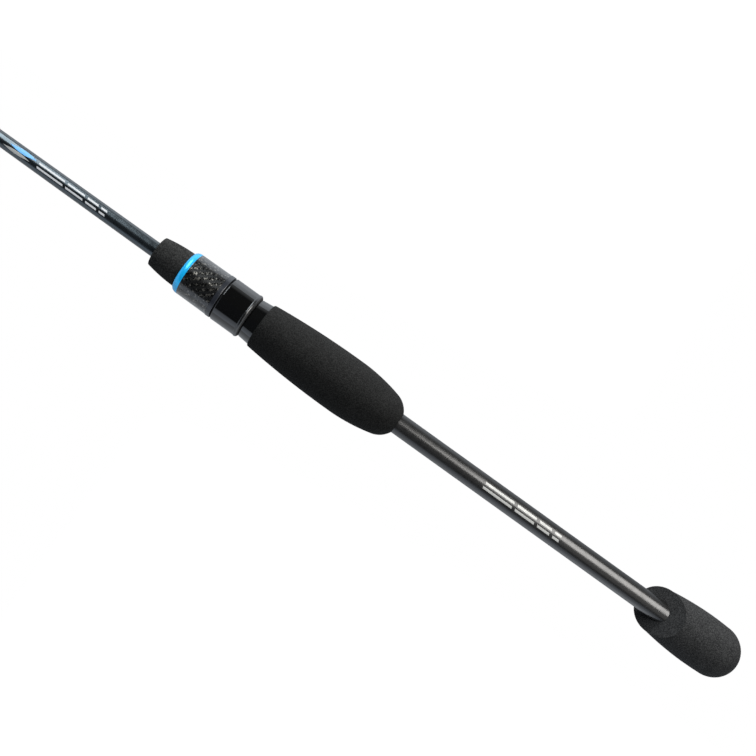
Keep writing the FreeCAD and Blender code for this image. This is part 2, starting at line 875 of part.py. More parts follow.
def front_outlines(diameter, level):
    """The front view: a hoop with two legs that close in to the foot's width, and the gap between them."""
    radius = diameter / 2.0
    half_foot = dim["foot_width"] / 2.0
    neck = level - dim["foot_thickness"]
    across = radius * SHOULDER
    up = radius * math.sqrt(1.0 - SHOULDER * SHOULDER)
    foot_top = level + OVERRUN
    outer = [
        (-across, up),
        Arc(radius),
        (0.0, -radius),
        Arc(radius),
        (across, up),
        (half_foot, neck),
        (half_foot, foot_top),
        (-half_foot, foot_top),
        (-half_foot, neck),
    ]
    hole = radius - hoop_wall(diameter)
    third = hole * (math.sqrt(3.0) / 2.0)
    round_hole = [
        (hole, 0.0),
        Arc(hole),
        (hole * -0.5, third),
        Arc(hole),
        (hole * -0.5, -third),
        Arc(hole),
    ]
    outlines = [outer, round_hole]
    if diameter.value >= SMALLEST_WINDOWED:
        sill = radius * SILL
        edge = across + (half_foot - across) * (sill - up) / (neck - up)
        leg_width = diameter * 0.05 + 0.5
        outlines.append([
            (-edge + leg_width, sill),
            (edge - leg_width, sill),
            (0.0, neck - leg_width * 1.6),
        ])
    return outlines


def make_bent_frame(name, station, diameter, drop, level, side):
    """A guide's frame with one foot: a flat blank cut to the front view and bent to the side view."""
    span = (leg_reach(diameter, level) + foot_length(diameter) + OVERRUN) * 2.0
    side_view = padded(f"{name}_side", [leg_outline(diameter, level, side)], "XZ_Plane", diameter + OVERRUN)
    front_view = padded(f"{name}_front", front_outlines(diameter, level), "YZ_Plane", span)
    frame = common(f"{name}_bent", side_view, front_view)
    place(frame, station, 0.0, -drop)
    return frame


def make_guide_ring(label, station, diameter, drop):
    """The ceramic ring: a short round-edged sleeve glued into the hoop."""
    outer = diameter / 2.0 - hoop_wall(diameter) - dim["ring_glue"]
    bore = diameter / 2.0 - hoop_wall(diameter) - ring_section(diameter)
    half = hoop_width(diameter) / 2.0 + dim["ring_overhang"]
    curve = ring_section(diameter) * 0.45
    chamfer = dim["ring_chamfer"]
    body = revolved(f"{label}_body", [
        (-half, bore + curve),
        Arc(curve),
        (-half + curve, bore),
        (half - curve, bore),
        Arc(curve),
        (half, bore + curve),
        (half, outer - chamfer),
        (half - chamfer, outer),
        (-half + chamfer, outer),
        (-half, outer - chamfer),
    ])
    place(body, station, 0.0, -drop)
    keep(body, label)


def make_foot_wrap(name, foot_start, foot_end, side, radius_at, frame):
    """The thread wrap over one foot. It starts on the bare blank, past the foot's free end."""
    lead = dim["guide_wrap_lead"]
    step = dim["guide_wrap_step"]
    start = foot_start - lead if side < 0 else foot_start
    end = foot_end if side < 0 else foot_end + lead
    thick = dim["wrap_thickness"]
    sleeve = cone_x(f"{name}_sleeve", start, end, radius_at(start) + thick, radius_at(end) + thick)
    ridge_start = start + step if side < 0 else start
    ridge_end = end if side < 0 else end - step
    ridge = cylinder_x(f"{name}_ridge", ridge_start, ridge_end, dim["guide_wrap_radius"],
                       radius_at(start) - dim["small_gap"])
    blank = cone_x(f"{name}_blank", start - OVERRUN, end + OVERRUN, radius_at(start - OVERRUN),
                   radius_at(end + OVERRUN))
    whole = fuse(f"{name}_whole", [sleeve, ridge])
    return cut(f"{name}_trimmed", cut(f"{name}_bored", whole, blank), frame)


def make_guide(number, name, sides, radius_at):
    """One line guide: its frame, its ring, and the wrap over each foot."""
    station = dim[f"{name}_guide_station"]
    diameter = dim[f"{name}_guide_diameter"]
    drop = dim[f"{name}_guide_height"]
    frames = []
    feet = []
    for side in sides:
        # The foot's level is set where the blank under it is thickest.
        guess = leg_reach(diameter, drop - radius_at(station))
        thick_end = station - guess - foot_length(diameter) if side < 0 else station + guess - OVERRUN
        level = drop - radius_at(thick_end)
        reach = leg_reach(diameter, level)
        heel = reach + foot_length(diameter)
        frames.append(make_bent_frame(f"{name}_guide_{'rear' if side < 0 else 'fore'}",
                                      station, diameter, drop, level, side))
        feet.append((station - heel, station - reach, side) if side < 0
                    else (station + reach, station + heel, side))
    frame = fuse(f"{name}_guide_frame", frames) if len(frames) > 1 else frames[0]
    keep(frame, f"guide_{number}_frame")
    make_guide_ring(f"guide_{number}_ring", station, diameter, drop)
    wraps = []
    for foot_start, foot_end, side in feet:
        wraps.append(make_foot_wrap(f"{name}_wrap_{'rear' if side < 0 else 'fore'}",
                                    foot_start, foot_end, side, radius_at, frame))
    if len(wraps) == 1:
        keep(wraps[0], f"guide_{number}_wrap")
        return
    pair = doc.addObject("Part::Compound", f"{name}_wraps")
    pair.Links = wraps
    keep(pair, f"guide_{number}_wrap")


def make_tip_top():
    """The end guide: a tube glued over the tip, with a bent frame under it that holds the last ring."""
    end = dim["tip_blank_end"]
    start = end - dim["tip_top_tube_length"]
    bore = tip_blank_radius(start) + dim["tip_top_glue"]
    outer = bore + dim["tip_top_wall"]
    front = dim["tip_top_station"]
    room_end = end + dim["small_gap"]
    edge = dim["tip_top_edge"]
    tube = revolved("tip_top_tube", [
        (start, bore),
        (room_end, bore),
        (room_end, 0.0),
        (front, 0.0),
        (front, outer - edge),
        Arc(edge),
        (front - edge, outer),
        (start, outer),
    ])
    diameter = dim["tip_top_diameter"]
    drop = dim["tip_top_height"]
    level = drop - outer + dim["tip_top_weld"]
    bent = make_bent_frame("tip_top", front, diameter, drop, level, -1)
    hollow = cylinder_x("tip_top_room", start - OVERRUN, room_end, bore)
    keep(cut("tip_top_cut", fuse("tip_top_joined", [tube, bent]), hollow), "tip_top_frame")
    make_guide_ring("tip_top_ring", front, diameter, drop)
    wrap_start = start - dim["tip_top_wrap_length"]
    wrap_end = start - dim["small_gap"]
    taper = dim["guide_wrap_step"]
    keep(revolved("tip_top_wrap_body", [
        (wrap_start, tip_blank_radius(wrap_start)),
        (wrap_end, tip_blank_radius(wrap_end)),
        (wrap_end, tip_blank_radius(wrap_end) + dim["tip_top_wall"]),
        (wrap_start + taper, tip_blank_radius(wrap_start) + dim["tip_top_wall"]),
    ]), "tip_top_wrap")


def write_out():
    """Check every object and write each sub-part's solid to its own file."""
    doc.recompute()
    for thing in doc.Objects:
        if "Invalid" in thing.State or "Error" in thing.State:
            raise RuntimeError(f"{thing.Name} did not compute")
    for thing in sub_parts:
        if thing.Shape.isNull() or not thing.Shape.isValid() or not thing.Shape.Solids:
            raise RuntimeError(f"{thing.Label} has no valid solid")
    os.makedirs("parts", exist_ok=True)
    for thing in sub_parts:
        thing.Shape.exportStep(f"parts/{thing.Label}.step")


make_butt_blank()
make_tip_blank()
make_ferrule_wrap()
make_handle_tube()
make_blank_shim("blank_shim_rear", dim["rear_shim_start"])
make_blank_shim("blank_shim_front", dim["front_shim_start"])
make_butt_grip()
make_rear_grip()
make_reel_seat_body()
make_fixed_hood_insert()
make_moving_hood()
make_moving_hood_insert()
make_hood_slip_ring()
make_locking_nut()
make_carbon_sleeve()
make_trim_ring()
make_fore_grip()
make_guide(1, "first", (-1, 1), butt_blank_radius)
for guide_number, guide in enumerate(GUIDES[1:], start=2):
    make_guide(guide_number, guide[0], (-1,), tip_blank_radius)
make_tip_top()
write_out()
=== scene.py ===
"""The looks of a light two-piece spinning rod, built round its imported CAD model.

The rod's axis is X, from the butt end towards the tip, and the reel and the guides are on the -Z side.
Lengths are in millimetres, and MM turns them into Blender's metres. The lights and the camera are placed
in metres.
"""

import math

import bmesh
import bpy
from mathutils import Matrix, Vector


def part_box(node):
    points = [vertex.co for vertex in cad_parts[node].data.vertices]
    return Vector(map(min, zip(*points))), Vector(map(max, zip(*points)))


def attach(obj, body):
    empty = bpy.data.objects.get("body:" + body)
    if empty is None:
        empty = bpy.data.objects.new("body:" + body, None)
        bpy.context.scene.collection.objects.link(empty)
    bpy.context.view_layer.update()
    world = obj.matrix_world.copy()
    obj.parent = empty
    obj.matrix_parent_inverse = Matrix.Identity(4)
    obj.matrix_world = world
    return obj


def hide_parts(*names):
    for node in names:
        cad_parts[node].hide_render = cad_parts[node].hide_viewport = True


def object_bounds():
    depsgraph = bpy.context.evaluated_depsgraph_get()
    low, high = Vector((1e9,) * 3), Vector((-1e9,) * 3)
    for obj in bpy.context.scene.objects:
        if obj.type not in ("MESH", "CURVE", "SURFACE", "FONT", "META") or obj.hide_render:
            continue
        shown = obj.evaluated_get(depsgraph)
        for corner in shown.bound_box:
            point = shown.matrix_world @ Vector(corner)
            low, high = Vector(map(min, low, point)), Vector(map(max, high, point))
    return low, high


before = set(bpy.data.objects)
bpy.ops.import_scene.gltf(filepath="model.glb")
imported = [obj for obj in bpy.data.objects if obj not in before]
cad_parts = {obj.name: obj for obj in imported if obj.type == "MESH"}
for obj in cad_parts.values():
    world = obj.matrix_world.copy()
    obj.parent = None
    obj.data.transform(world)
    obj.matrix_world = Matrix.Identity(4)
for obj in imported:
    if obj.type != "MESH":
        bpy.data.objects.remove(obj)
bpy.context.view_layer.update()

MM = 0.001
SAME_POINT = 0.0005  # points nearer than this are joined after a boolean
SMOOTH_ANGLE = math.radians(32.0)  # edges sharper than this stay sharp

SIDES = 128  # sides of a turned piece
SHELL_SIDES = 160  # sides of the wide pieces of the handle
TOOL_SIDES = 96  # sides of the blanks, the wraps and the cutters

TUBE_RADIUS = 5.6
FIT = 0.05  # play between a grip's bore and the tube inside it
NUT_BORE = 10.05  # bore of the sleeve and ring on the locking nut, and of the rear grip on the seat
FOOT_DROP = 2.6  # how far the room for the reel's foot is centred below the rod's axis
FERRULE_START = 975.0
GUIDES = range(1, 8)
BUTT_TAPER = ((12.0, 5.0), (366.0, 4.155), (1030.0, 2.03))  # places along the butt blank and its radii there
TIP_TAPER = ((FERRULE_START, 2.92), (1980.0, 0.75))

WRAP_SINK = 0.03  # how far a wrap's inside reaches into the blank
WRAP_SKIN = 0.04  # a wrap's thickness at its very ends
PRINT_SINK = 0.05  # how far a printed mark's underside lies below the surface it is on
PRINT_LIFT = 0.03  # how far its face stands above it

ROOM_LIGHT = 0.07
SIDE_LIGHT_EDGE = (0.43, 0.50)  # heights between which the left side's light fades to the room's own
SIDE_LIGHT_FALL = (0.0, 0.47, 1.5, 0.95)  # from the first height to the second, and its strength at each
RIM_LIGHT = 0.6  # the right side's light near the floor
RIM_HEIGHT = math.sin(math.radians(15.0))  # the height at which it fades, this far below and above
RIM_BLUR = 0.12
SHADOW_REACH = 75.0  # how far from the rod the floor's painted shadow fades
WHITE = (1.0, 1.0, 1.0)


# ---------------------------------------------------------------- shapes


def extent(node):
    """Where a CAD node starts and ends along the rod, in millimetres."""
    low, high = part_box(node)
    return low.x / MM, high.x / MM


def outer_radius(node):
    """A CAD node's largest radius round the rod's axis, in millimetres."""
    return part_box(node)[1].y / MM


class Bulge:
    """A circular stretch of an outline, bulging away from the axis."""

    def __init__(self, radius, steps=20):
        self.radius = radius
        self.steps = steps

    def points(self, start, end):
        """The points between two ends of the arc."""
        a, b = Vector(start[:2]), Vector(end[:2])
        chord = b - a
        side = Vector((chord.y, -chord.x)).normalized()
        if side.y > 0.0:
            side = -side
        height = math.sqrt(max(self.radius ** 2 - chord.length_squared / 4.0, 0.0))
        centre = (a + b) / 2.0 + side * height
        first = math.atan2(a.y - centre.y, a.x - centre.x)
        sweep = math.atan2(b.y - centre.y, b.x - centre.x) - first
        sweep = (sweep + math.pi) % (2.0 * math.pi) - math.pi
        angles = [first + sweep * i / self.steps for i in range(1, self.steps)]
        return [(centre.x + self.radius * math.cos(t), centre.y + self.radius * math.sin(t)) for t in angles]


def rounded(before, corner, after, fillet, steps=5):
    """The points of a small arc that replaces a corner, with one more point each side to hold the shading."""
    at = Vector(corner)
    back = (Vector(before) - at).normalized()
    ahead = (Vector(after) - at).normalized()
    half = back.angle(ahead) / 2.0
    reach = fillet / math.tan(half)
    start = at + back * reach
    end = at + ahead * reach
    centre = at + (back + ahead).normalized() * (fillet / math.sin(half))
    first = start - centre
    last = end - centre
    turn = first.angle_signed(last)
    points = [tuple(at + back * reach * 1.25)]
    for i in range(steps + 1):
        spoke = first.copy()
        spoke.rotate(Matrix.Rotation(-turn * i / steps, 2))
        points.append(tuple(centre + spoke))
    points.append(tuple(at + ahead * reach * 1.25))
    return points


def outline(*items):
    """A closed outline from corners (x, radius[, fillet]) and the Bulges between them."""
    corners = []
    count = len(items)
    for i, item in enumerate(items):
        if isinstance(item, Bulge):
            corners += [(*p, 0.0) for p in item.points(items[i - 1], items[(i + 1) % count])]
        else:
            corners.append((item[0], item[1], item[2] if len(item) > 2 else 0.0))
    points = []
    count = len(corners)
    for i, (x_pos, radius, fillet) in enumerate(corners):
        if fillet > 0.0:
            points += rounded(corners[i - 1][:2], (x_pos, radius), corners[(i + 1) % count][:2], fillet)
        else:
            points.append((x_pos, radius))
    return points


def cylinder(start, end, radius):
    """The outline of a plain cylinder round the axis."""
    return [(start, 0.0), (end, 0.0), (end, radius), (start, radius)]


def revolve(points, sides=SIDES, drop=0.0):
    """A bmesh of a closed outline turned round the rod's axis, or round a line that far below it."""
    mesh = bmesh.new()
    rings = []
    for x_pos, radius in points:
        if radius < 1e-6:
            rings.append([mesh.verts.new((x_pos * MM, 0.0, -drop * MM))])
            continue
        ring = []
        for i in range(sides):
            turn = 2.0 * math.pi * i / sides
            ring.append(mesh.verts.new((x_pos * MM, radius * MM * math.sin(turn),
                                        (radius * math.cos(turn) - drop) * MM)))
        rings.append(ring)
    skin(mesh, rings, sides)
    bmesh.ops.recalc_face_normals(mesh, faces=mesh.faces)
    return mesh


def skin(mesh, rings, sides):
    """Join each ring of points to the next, and the last to the first. A single point closes an end."""
    for first, second in zip(rings, rings[1:] + rings[:1]):
        if len(first) == 1 and len(second) == 1:
            continue
        for i in range(sides):
            j = (i + 1) % sides
            corners = [first[i % len(first)], first[j % len(first)], second[j % len(second)],
                       second[i % len(second)]]
            mesh.faces.new(list(dict.fromkeys(corners)))


def cut_above(mesh, point, normal):
    """Cut off what lies beyond a plane, and give the open edges that are left."""
    cut = bmesh.ops.bisect_plane(mesh, geom=mesh.verts[:] + mesh.edges[:] + mesh.faces[:],
                                 plane_co=point, plane_no=normal, clear_outer=True)
    return [e for e in cut["geom_cut"] if isinstance(e, bmesh.types.BMEdge)]


def placed(name, mesh):
    """An object in the scene that holds a bmesh."""
    data = bpy.data.meshes.new(name)
    mesh.to_mesh(data)
    mesh.free()
    piece = bpy.data.objects.new(name, data)
    bpy.context.scene.collection.objects.link(piece)
    return piece


def smooth(piece):
    """Shade a piece smooth, apart from its sharp edges."""
    piece.data.shade_smooth()
    piece.data.set_sharp_from_angle(angle=SMOOTH_ANGLE)


def shown(name, mesh, material, body, *nodes, slot=None):
    """Make an object of a bmesh that rides on a body and stands for the CAD nodes named."""
    piece = placed(name, mesh)
    smooth(piece)
    piece.data.materials.append(material)
    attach(piece, body)
    if nodes:
        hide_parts(*nodes)
    return piece


def carve(piece, tool_mesh, operation="DIFFERENCE"):
    """Cut one closed mesh from a piece, or join it to the piece."""
    tool = placed("cutter", tool_mesh)
    modifier = piece.modifiers.new("carve", "BOOLEAN")
    modifier.object = tool
    modifier.operation = operation
    modifier.solver = "EXACT"
    settle(piece)
    bpy.data.objects.remove(tool)


def settle(piece):
    """Apply a piece's modifiers to its mesh, and join the points that a boolean left in one place."""
    graph = bpy.context.evaluated_depsgraph_get()
    final = bpy.data.meshes.new_from_object(piece.evaluated_get(graph))
    piece.modifiers.clear()
    mesh = bmesh.new()
    mesh.from_mesh(final)
    bmesh.ops.remove_doubles(mesh, verts=mesh.verts, dist=SAME_POINT * MM)
    mesh.to_mesh(final)
    mesh.free()
    piece.data = final


def soften(piece, width, segments, angle):
    """Round a piece's sharp edges by a small width."""
    bevel = piece.modifiers.new("soften", "BEVEL")
    bevel.width = width * MM
    bevel.segments = segments
    bevel.limit_method = "ANGLE"
    bevel.angle_limit = angle
    bevel.harden_normals = True
    bevel.use_clamp_overlap = True
    settle(piece)


def block(x_range, width, z_range):
    """A bmesh of a box across the rod."""
    mesh = bmesh.new()
    bmesh.ops.create_cube(mesh, size=1.0)
    size = Vector((x_range[1] - x_range[0], width, z_range[1] - z_range[0]))
    middle = Vector(((x_range[0] + x_range[1]) / 2.0, 0.0, (z_range[0] + z_range[1]) / 2.0))
    mesh.transform(Matrix.Translation(middle * MM) @ Matrix.Diagonal((*(size * MM), 1.0)))
    return mesh


def prism(profile, reach):
    """A bmesh of a closed outline (x, z) carried across the rod, as far on both sides."""
    mesh = bmesh.new()
    sides = [[mesh.verts.new((x * MM, across * MM, z * MM)) for x, z in profile]
             for across in (-reach, reach)]
    for side in sides:
        mesh.faces.new(side)
    for i in range(len(profile)):
        j = (i + 1) % len(profile)
        mesh.faces.new((sides[0][i], sides[0][j], sides[1][j], sides[1][i]))
    bmesh.ops.recalc_face_normals(mesh, faces=mesh.faces)
    return mesh


# ---------------------------------------------------------------- finishes


class Graph:
    """The shader nodes of a material or a world, and short calls that add and join nodes."""

    def __init__(self, owner):
        owner.use_nodes = True
        self.nodes = owner.node_tree.nodes
        self.links = owner.node_tree.links
        self.nodes.clear()

    def put(self, socket, value):
        """Join an output to an input, or set the input's own value."""
        if isinstance(value, bpy.types.NodeSocket):
            self.links.new(value, socket)
        elif isinstance(value, tuple) and len(value) == 3 and socket.type == "RGBA":
            socket.default_value = (*value, 1.0)
        else:
            socket.default_value = value

    def place(self, kind):
        """The place or direction being shaded, in one of Blender's own sets of coordinates."""
        return self.nodes.new("ShaderNodeTexCoord").outputs[kind]

    def parts(self, vector):
        """The three numbers of a vector."""
        node = self.nodes.new("ShaderNodeSeparateXYZ")
        self.links.new(vector, node.inputs[0])
        return node.outputs

    def seen(self):
        """1 for what the camera sees directly, and 0 for what lights or is reflected."""
        return self.nodes.new("ShaderNodeLightPath").outputs["Is Camera Ray"]

    def math(self, operation, *values):
        """One Math node."""
        node = self.nodes.new("ShaderNodeMath")
        node.operation = operation
        for socket, value in zip(node.inputs, values):
            self.put(socket, value)
        return node.outputs[0]

    def spread(self, value, low, high, new_low=0.0, new_high=1.0):
        """Stretch a value from one range to another, and stop it at the ends."""
        node = self.nodes.new("ShaderNodeMapRange")
        for socket, number in zip(node.inputs, (value, low, high, new_low, new_high)):
            self.put(socket, number)
        return node.outputs[0]

    def mix(self, factor, first, second):
        """One colour turning into another."""
        node = self.nodes.new("ShaderNodeMix")
        node.data_type = "RGBA"
        self.put(node.inputs["Factor"], factor)
        self.put(node.inputs[6], first)
        self.put(node.inputs[7], second)
        return node.outputs[2]


class Finish(Graph):
    """A material built round one principled shader."""

    def __init__(self, name, **settings):
        self.material = bpy.data.materials.new(name)
        super().__init__(self.material)
        self.shader = self.nodes.new("ShaderNodeBsdfPrincipled")
        output = self.nodes.new("ShaderNodeOutputMaterial")
        self.links.new(self.shader.outputs["BSDF"], output.inputs["Surface"])
        for socket, value in settings.items():
            self.set(socket.replace("_", " "), value)
        scale = self.nodes.new("ShaderNodeVectorMath")
        scale.operation = "SCALE"
        scale.inputs["Scale"].default_value = 1.0 / MM
        self.links.new(self.place("Object"), scale.inputs[0])
        self.point = scale.outputs[0]
        self.along, self.across, self.up = self.parts(self.point)

    def set(self, socket, value):
        """Set or join one of the shader's own inputs."""
        self.put(self.shader.inputs[socket], value)

    def angle(self):
        """The turn round the rod's axis, from -pi to pi, with 0 at the spine."""
        return self.math("ARCTAN2", self.across, self.up)

    def vector(self, x_part, y_part, z_part):
        """A vector of three numbers."""
        node = self.nodes.new("ShaderNodeCombineXYZ")
        for socket, value in zip(node.inputs, (x_part, y_part, z_part)):
            self.put(socket, value)
        return node.outputs[0]

    def noise(self, per_mm, detail, point=None, roughness=0.5):
        """Noise with that many features in each millimetre."""
        node = self.nodes.new("ShaderNodeTexNoise")
        self.put(node.inputs["Vector"], point or self.point)
        self.put(node.inputs["Scale"], per_mm)
        self.put(node.inputs["Detail"], detail)
        self.put(node.inputs["Roughness"], roughness)
        return node.outputs["Fac"]

    def cells(self, per_mm):
        """The distance to the nearest of many scattered points."""
        node = self.nodes.new("ShaderNodeTexVoronoi")
        self.put(node.inputs["Vector"], self.point)
        self.put(node.inputs["Scale"], per_mm)
        return node.outputs["Distance"]

    def bump(self, height, depth, strength):
        """Bend the shading by a height, of that depth in millimetres."""
        node = self.nodes.new("ShaderNodeBump")
        self.put(node.inputs["Height"], height)
        self.put(node.inputs["Distance"], depth * MM)
        self.put(node.inputs["Strength"], strength)
        return node.outputs["Normal"]


def shade(colour, share):
    """A colour made lighter or darker."""
    return tuple(c * share for c in colour)


def foam_finish(name, dark, light):
    """Closed-cell foam: fine pores, a speckle of paler grains and soft larger mottling."""
    finish = Finish(name, Roughness=0.9, Specular_IOR_Level=0.08)
    grains = finish.noise(1.6, 3.0, roughness=0.75)
    mottle = finish.noise(0.2, 2.0)
    speckle = finish.math("ADD", finish.spread(grains, 0.44, 0.60, 0.0, 0.85),
                          finish.spread(mottle, 0.3, 0.7, 0.0, 0.15))
    finish.set("Base Color", finish.mix(speckle, dark, light))
    pores = finish.cells(2.0)
    height = finish.math("ADD", finish.spread(pores, 0.0, 0.5), grains)
    finish.set("Normal", finish.bump(height, 0.16, 0.8))
    return finish.material


def lacquer_finish(name, colour, roughness, metallic=0.0, fibre=0.0, specular=0.5, ripple=0.004,
                   dull_before=(), tint=WHITE):
    """Painted or lacquered surface with slight unevenness.

    Each pair in dull_before is a place on the rod and the roughness that is added behind it.
    """
    finish = Finish(name, Metallic=metallic, Specular_IOR_Level=specular, Specular_Tint=tint)
    drift = finish.noise(0.35, 3.0)
    worn = finish.spread(drift, 0.3, 0.7, roughness * 0.85, roughness * 1.15)
    for place, extra in dull_before:
        worn = finish.math("ADD", worn, finish.spread(finish.along, place, place + 0.3, extra, 0.0))
    finish.set("Roughness", worn)
    stretched = finish.vector(finish.math("MULTIPLY", finish.along, 0.12), finish.across, finish.up)
    streaks = finish.noise(3.0, 3.0, point=stretched)
    finish.set("Base Color", finish.mix(finish.spread(streaks, 0.3, 0.7), shade(colour, 1.0 - fibre),
                                        shade(colour, 1.0 + fibre)))
    finish.set("Normal", finish.bump(drift, ripple, 0.5))
    return finish.material


def weave_finish(name, tows=84, tow_along=1.15):
    """Carbon cloth in a 2x2 twill under clear lacquer, its tows along and around the rod."""
    finish = Finish(name, Coat_Weight=0.75, Coat_Roughness=0.03, Specular_IOR_Level=0.15, Anisotropic=0.9,
                    Anisotropic_Rotation=0.25)
    tangent = finish.nodes.new("ShaderNodeTangent")
    tangent.direction_type = "RADIAL"
    tangent.axis = "X"
    finish.set("Tangent", tangent.outputs[0])
    wander = finish.math("MULTIPLY", finish.spread(finish.noise(0.25, 1.0), 0.2, 0.8), 0.5)
    along = finish.math("ADD", finish.math("DIVIDE", finish.along, tow_along), wander)
    around = finish.math("MULTIPLY", finish.angle(), tows / (2.0 * math.pi))
    step = finish.math("SUBTRACT", finish.math("FLOOR", along), finish.math("FLOOR", around))
    hoop_on_top = finish.math("LESS_THAN", finish.math("FLOORED_MODULO", step, 4.0), 1.5)

    def crown(value):
        """A rounded ridge across each tow, from 0 at its edges to 1 in its middle."""
        offset = finish.math("SUBTRACT", finish.math("FRACT", value), 0.5)
        square = finish.math("MULTIPLY", offset, offset)
        return finish.math("SUBTRACT", 1.0, finish.math("MULTIPLY", square, 4.0))

    hoop_height = finish.math("MULTIPLY", crown(along), hoop_on_top)
    axial_height = finish.math("MULTIPLY", crown(around), finish.math("SUBTRACT", 1.0, hoop_on_top))
    height = finish.math("ADD", hoop_height, finish.math("MULTIPLY", axial_height, 0.4))
    sparkle = finish.spread(finish.noise(0.8, 1.0, roughness=0.7), 0.515, 0.615)
    bright = finish.mix(sparkle, (0.0012, 0.0011, 0.0010), (0.115, 0.109, 0.097))
    finish.set("Base Color", finish.mix(hoop_height, (0.002, 0.002, 0.002), bright))
    finish.set("Metallic", hoop_height)
    finish.set("Roughness", finish.spread(finish.noise(14.0, 2.0), 0.3, 0.7, 0.30, 0.40))
    finish.set("Normal", finish.bump(height, 0.05, 0.6))
    return finish.material


def metal_finish(name, colour, roughness, grain=0.3, coat=0.0, metallic=1.0):
    """Plated or anodised metal with fine lines turned round its axis."""
    finish = Finish(name, Metallic=metallic, Coat_Weight=coat, Coat_Roughness=0.1)
    squeezed = finish.vector(finish.math("MULTIPLY", finish.along, 4.0),
                             finish.math("MULTIPLY", finish.across, 0.2),
                             finish.math("MULTIPLY", finish.up, 0.2))
    lines = finish.noise(6.0, 2.0, point=squeezed)
    finish.set("Roughness", finish.spread(lines, 0.3, 0.7, roughness * (1.0 - grain),
                                          roughness * (1.0 + grain)))
    finish.set("Base Color", finish.mix(lines, shade(colour, 0.93), colour))
    finish.set("Normal", finish.bump(lines, 0.01, 0.25))
    return finish.material


def thread_finish(name, colour, pitch=0.22):
    """Fine thread wound side by side round the blank, under clear epoxy."""
    finish = Finish(name, Coat_Weight=1.0, Coat_Roughness=0.05, Roughness=0.5, Specular_IOR_Level=0.3)
    turn = finish.math("DIVIDE", finish.angle(), 2.0 * math.pi)
    wound = finish.math("ADD", finish.math("DIVIDE", finish.along, pitch), turn)
    offset = finish.math("SUBTRACT", finish.math("FRACT", wound), 0.5)
    round_top = finish.math("SUBTRACT", 1.0, finish.math("MULTIPLY", finish.math("ABSOLUTE", offset), 2.0))
    lint = finish.noise(9.0, 2.0)
    # painted shade: each turn of thread is darker towards its edges, in the grooves between turns, and
    # lighter on its crown; the lint noise also varies it
    lit = finish.math("MULTIPLY", round_top, finish.spread(lint, 0.2, 0.8, 0.6, 1.0))
    finish.set("Base Color", finish.mix(lit, shade(colour, 0.35), colour))
    finish.set("Normal", finish.bump(round_top, 0.05, 0.7))
    return finish.material


def ceramic_finish(name):
    """A polished dark ceramic ring."""
    finish = Finish(name, Specular_IOR_Level=0.9, Coat_Weight=0.5, Coat_Roughness=0.02)
    grain = finish.noise(4.0, 4.0)
    finish.set("Base Color", finish.mix(grain, (0.035, 0.036, 0.042), (0.055, 0.056, 0.064)))
    finish.set("Roughness", finish.spread(grain, 0.3, 0.7, 0.08, 0.16))
    return finish.material


FOAM = foam_finish("eva_foam", (0.0003, 0.0003, 0.0003), (0.0062, 0.0063, 0.0061))
# painted light: a lighter copy of the grip foam, which stands in for the stronger light on the fore grip
FORE_FOAM_PAINTED_LIGHT = foam_finish("fore_foam_painted_light", (0.001, 0.001, 0.001), (0.0125, 0.0127, 0.0122))
BUTT_FOAM = foam_finish("butt_foam", (0.0032, 0.0033, 0.0036), (0.0175, 0.0178, 0.0180))
BLANK = lacquer_finish("blank_lacquer", (0.0025, 0.003, 0.0035), 0.25, fibre=0.25, specular=0.66,
                       ripple=0.001, tint=(0.78, 0.92, 1.0))
TUBE = lacquer_finish("tube_satin", (0.006, 0.006, 0.006), 0.28, fibre=0.2, specular=0.42, ripple=0.001)
GLOSS_LOOK = {"colour": (0.0008, 0.0008, 0.0008), "roughness": 0.06, "specular": 0.52, "ripple": 0.001}
GLOSS = lacquer_finish("gloss_black_plastic", **GLOSS_LOOK)
HOOD_REAR = extent("moving_hood")[0]
HOOD_GLOSS = lacquer_finish("gloss_black_hood", **GLOSS_LOOK,
                            dull_before=((HOOD_REAR + 2.4, 0.2), (HOOD_REAR + 0.52, 0.7)))
COLLAR = lacquer_finish("collar_satin", (0.007, 0.008, 0.011), 0.3, specular=0.4, ripple=0.01)
WEAVE = weave_finish("carbon_twill")
BLUE = metal_finish("blue_anodised", (0.002, 0.272, 0.55), 0.30, metallic=0.3)
GUIDE_METAL = metal_finish("dark_plated_wire", (0.09, 0.09, 0.10), 0.25, coat=0.3)
STEEL = metal_finish("brushed_steel", (0.55, 0.55, 0.56), 0.3)
SHIM = lacquer_finish("cork_rubber_shim", (0.10, 0.08, 0.06), 0.8, fibre=0.3, ripple=0.05)
SLIP = lacquer_finish("slip_ring_plastic", (0.002, 0.002, 0.002), 0.7, specular=0.1)
CERAMIC = ceramic_finish("ring_ceramic")
THREAD = thread_finish("black_thread", (0.012, 0.012, 0.014))
SILVER_PRINT = lacquer_finish("silver_print", (0.25, 0.25, 0.24), 0.5, metallic=0.2)
WHITE_PRINT = lacquer_finish("white_print", (0.31, 0.315, 0.32), 0.5)
PALE_BLUE_PRINT = lacquer_finish("pale_blue_print", (0.060, 0.225, 0.44), 0.5)


# ---------------------------------------------------------------- handle


